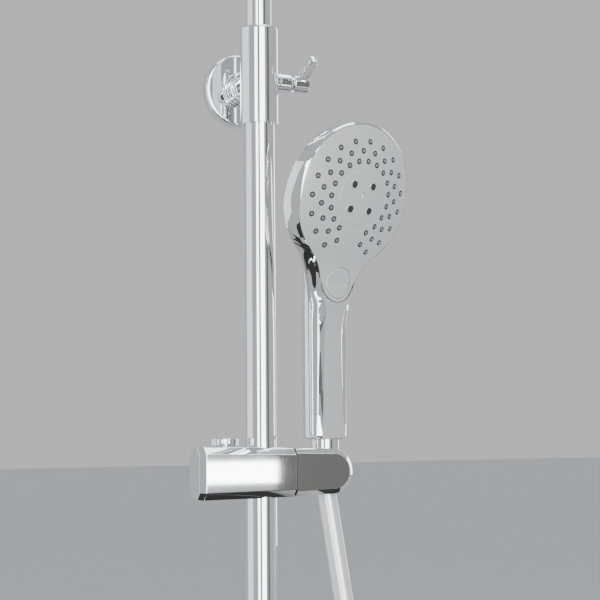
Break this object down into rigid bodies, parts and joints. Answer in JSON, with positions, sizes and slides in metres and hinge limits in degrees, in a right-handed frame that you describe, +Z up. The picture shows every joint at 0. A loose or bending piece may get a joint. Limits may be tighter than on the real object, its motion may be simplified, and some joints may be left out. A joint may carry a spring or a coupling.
{
  "type": "shower column",
  "caption": "Wall-mounted rainfall shower column with mixer, sliding hand shower on a hose and telescopic overhead rain head.",
  "frame": {"origin": "centre of the upper wall flange's back face, on the wall plane", "axes": "+X to the right of a person who faces the wall, +Y into the wall, +Z up"},
  "size_m": [0.279, 0.493, 1.7655],
  "materials": {
    "polished_chrome": "polished",
    "satin_face": "satin chrome plating",
    "grey_silicone": "matt",
    "black_rubber": "matt",
    "white_plastic": "moulded",
    "hose_satin": "smooth silver",
    "steel": "turned",
    "brass": "turned"
  },
  "bodies": {
    "column": {"riser_tube": "polished_chrome", "bracket_sleeve": "polished_chrome", "sleeve_bush": "white_plastic", "bracket_arm": "polished_chrome", "arm_set_screw": "steel", "wall_plate": "brass", "wall_flange": "polished_chrome", "lock_boss": "polished_chrome", "mixer_body": "polished_chrome", "wall_unions": "brass", "union_nuts": "polished_chrome", "cover_plates": "polished_chrome", "inlet_filters": "steel", "riser_nut": "polished_chrome", "hose_nut": "polished_chrome", "thermostat_cartridge": "brass", "diverter_cartridge": "brass", "hose_loop": "hose_satin"},
    "height_lock": {"lock_lever": "polished_chrome", "lock_spindle": "steel"},
    "pipe_guide": {"slide_guide": "white_plastic", "slide_seal": "black_rubber"},
    "overhead_arm": {"overhead_pipe": "polished_chrome", "swivel_ball": "polished_chrome"},
    "head_swivel": {"swivel_seat": "white_plastic"},
    "rain_head": {"swivel_nut": "polished_chrome", "rain_shell": "polished_chrome", "rain_gasket": "black_rubber", "rain_face": "satin_face", "rain_nozzles": "grey_silicone"},
    "slider": {"slider_body": "polished_chrome", "grip_bush": "white_plastic", "brake_shoe": "white_plastic", "button_spring": "black_rubber", "pivot_pin": "steel", "friction_washer": "black_rubber", "hose_middle": "hose_satin"},
    "release": {"release_button": "polished_chrome"},
    "hand_holder": {"holder": "polished_chrome", "hose_top": "hose_satin"},
    "cone": {"hose_cone": "polished_chrome"},
    "hand_shower": {"handset_connector": "brass", "water_tube": "white_plastic", "handset_shell": "polished_chrome", "handset_face": "satin_face", "spray_nozzles": "grey_silicone", "spray_jets": "black_rubber", "nozzle_mat": "grey_silicone", "spray_selector": "white_plastic"},
    "spray_select": {"select_button": "satin_face"},
    "temperature": {"temperature_handle": "polished_chrome"},
    "temperature_release": {"temperature_stop": "white_plastic"},
    "flow": {"flow_handle": "polished_chrome"},
    "flow_release": {"flow_stop": "white_plastic"}
  },
  "joints": [
    {"name": "lock_turn", "type": "hinge", "parent": "column", "child": "height_lock", "pos_m": [0.034, -0.048, 0], "axis": [-1, 0, 0], "range_deg": [0, 100]},
    {"name": "pipe_lift", "type": "slide", "parent": "column", "child": "pipe_guide", "axis": [0, 0, 1], "range_m": [-0.24, 0.12]},
    {"name": "pipe_swing", "type": "hinge", "parent": "pipe_guide", "child": "overhead_arm", "pos_m": [0, -0.048, 0], "axis": [0, 0, 1], "range_deg": [-75, 75]},
    {"name": "head_nod", "type": "hinge", "parent": "overhead_arm", "child": "head_swivel", "pos_m": [0, -0.368, 0.283], "axis": [1, 0, 0], "range_deg": [-15, 15]},
    {"name": "head_roll", "type": "hinge", "parent": "head_swivel", "child": "rain_head", "pos_m": [0, -0.368, 0.283], "axis": [0, 1, 0], "range_deg": [-15, 15]},
    {"name": "slider_slide", "type": "slide", "parent": "column", "child": "slider", "axis": [0, 0, 1], "range_m": [-0.3, 0.03], "deforming": ["hose_loop"]},
    {"name": "release_press", "type": "slide", "parent": "slider", "child": "release", "axis": [0, 0, -1], "range_m": [0, 0.003], "stiffness_N_per_m": 900, "deforming": ["button_spring"]},
    {"name": "holder_tilt", "type": "hinge", "parent": "slider", "child": "hand_holder", "pos_m": [0.0226, -0.048, -0.305], "axis": [1, 0, 0], "range_deg": [-2, 35], "deforming": ["hose_middle"]},
    {"name": "handset_lift", "type": "slide", "parent": "hand_holder", "child": "cone", "axis": [0, 0, 1], "range_m": [0, 0.06], "deforming": ["hose_top"]},
    {"name": "handset_turn", "type": "hinge", "parent": "cone", "child": "hand_shower", "pos_m": [0.054, -0.048, -0.285], "axis": [0, 0, 1], "range_deg": [-12, 50]},
    {"name": "select_press", "type": "slide", "parent": "hand_shower", "child": "spray_select", "axis": [-0.2523, 0.9224, 0.2924], "range_m": [0, 0.0015], "stiffness_N_per_m": 1500},
    {"name": "temperature_turn", "type": "hinge", "parent": "column", "child": "temperature", "pos_m": [-0.11, -0.048, -1], "axis": [-1, 0, 0], "range_deg": [-40, 140]},
    {"name": "temperature_stop_press", "type": "slide", "parent": "temperature", "child": "temperature_release", "axis": [0, 1, 0], "range_m": [0, 0.002], "stiffness_N_per_m": 900},
    {"name": "flow_turn", "type": "hinge", "parent": "column", "child": "flow", "pos_m": [0.11, -0.048, -1], "axis": [1, 0, 0], "range_deg": [-90, 90]},
    {"name": "flow_stop_press", "type": "slide", "parent": "flow", "child": "flow_release", "axis": [0, 1, 0], "range_m": [0, 0.002], "stiffness_N_per_m": 900}
  ]
}
